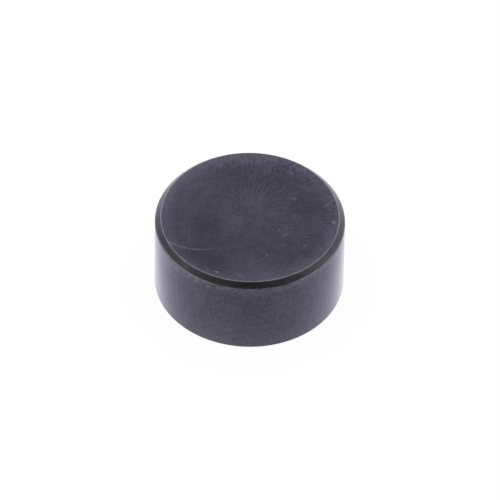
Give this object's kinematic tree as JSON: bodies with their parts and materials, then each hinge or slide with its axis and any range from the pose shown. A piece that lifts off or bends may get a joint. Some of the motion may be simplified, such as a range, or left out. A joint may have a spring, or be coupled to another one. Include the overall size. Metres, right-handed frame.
{
  "type": "valve shim",
  "caption": "Small round disc of hardened, ground steel with flat parallel faces and a narrow bevel round its upper edge, used to set the clearance of an engine valve.",
  "frame": {"origin": "centre of the lower face, which rests on the valve stem or stands on a surface", "axes": "+Z is the disc's axis, from the lower face to the bevelled upper face; X and Y are any two directions across it"},
  "size_m": [0.0074, 0.0074, 0.0035],
  "materials": {
    "shim_steel": "hardened alloy steel, ground on the faces and the wall, dark gunmetal with a faint violet cast"
  },
  "bodies": {
    "root": {"valve_shim": "shim_steel"}
  },
  "joints": []
}
